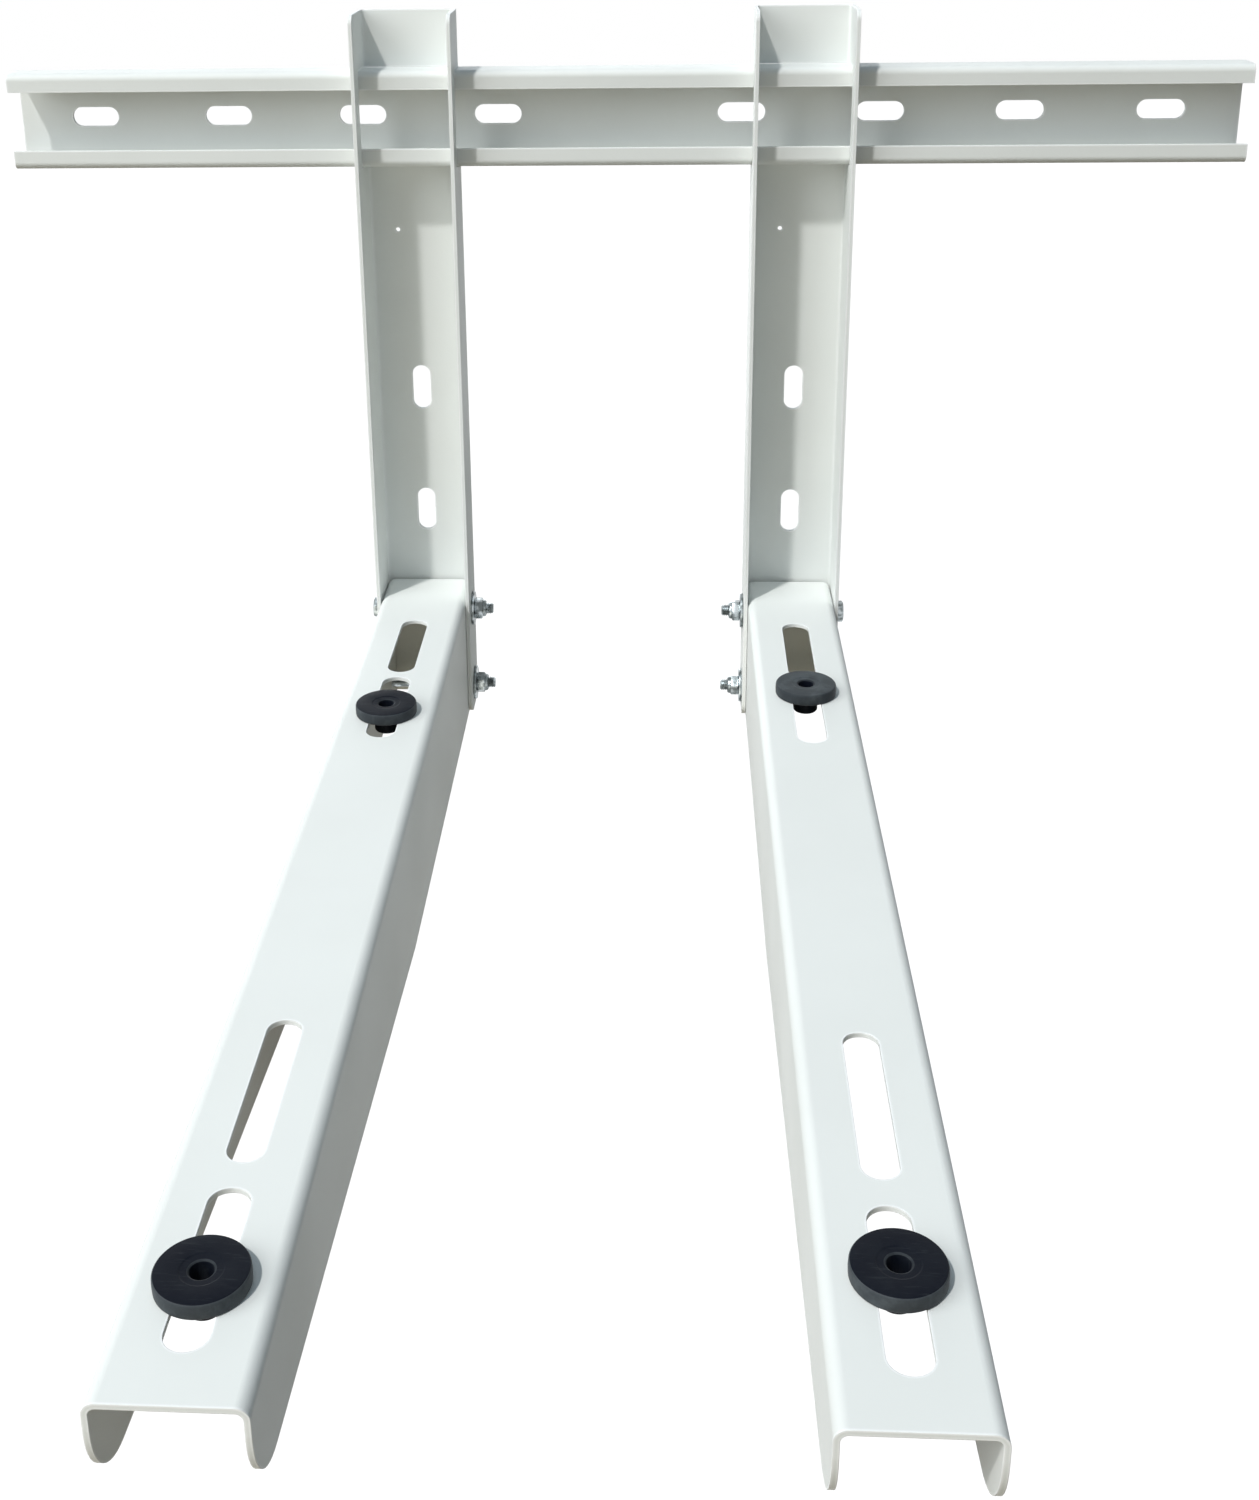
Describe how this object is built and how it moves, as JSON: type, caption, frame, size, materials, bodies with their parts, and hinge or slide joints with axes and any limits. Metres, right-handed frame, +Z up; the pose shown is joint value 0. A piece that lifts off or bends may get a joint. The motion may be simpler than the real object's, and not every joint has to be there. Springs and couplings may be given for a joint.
{
  "type": "air conditioner wall bracket",
  "caption": "Steel wall bracket for an air conditioner's outdoor unit: uprights hook over a slotted crossbar and carry slotted arms with rubber pads under the unit's feet.",
  "frame": {"origin": "middle of the crossbar's back, on the wall plane", "axes": "+X along the crossbar, to the right as seen from the front; +Y into the wall, so the arms run out towards -Y; +Z up"},
  "size_m": [0.8, 0.754, 0.4875],
  "materials": {
    "coated_steel": "satin powder coat, cool off-white",
    "rubber": "matte, blue-black",
    "zinc_steel": "bright zinc plating"
  },
  "bodies": {
    "root": {"crossbar": "coated_steel", "upright_left": "coated_steel", "arm_left": "coated_steel", "pad_rear_left": "rubber", "pad_front_left": "rubber", "bolt_upper_left": "zinc_steel", "washer_upper_left": "zinc_steel", "lock_nut_upper_left": "zinc_steel", "bolt_lower_left": "zinc_steel", "washer_lower_left": "zinc_steel", "lock_nut_lower_left": "zinc_steel", "upright_right": "coated_steel", "arm_right": "coated_steel", "pad_rear_right": "rubber", "pad_front_right": "rubber", "bolt_upper_right": "zinc_steel", "washer_upper_right": "zinc_steel", "lock_nut_upper_right": "zinc_steel", "bolt_lower_right": "zinc_steel", "washer_lower_right": "zinc_steel", "lock_nut_lower_right": "zinc_steel"}
  },
  "joints": []
}
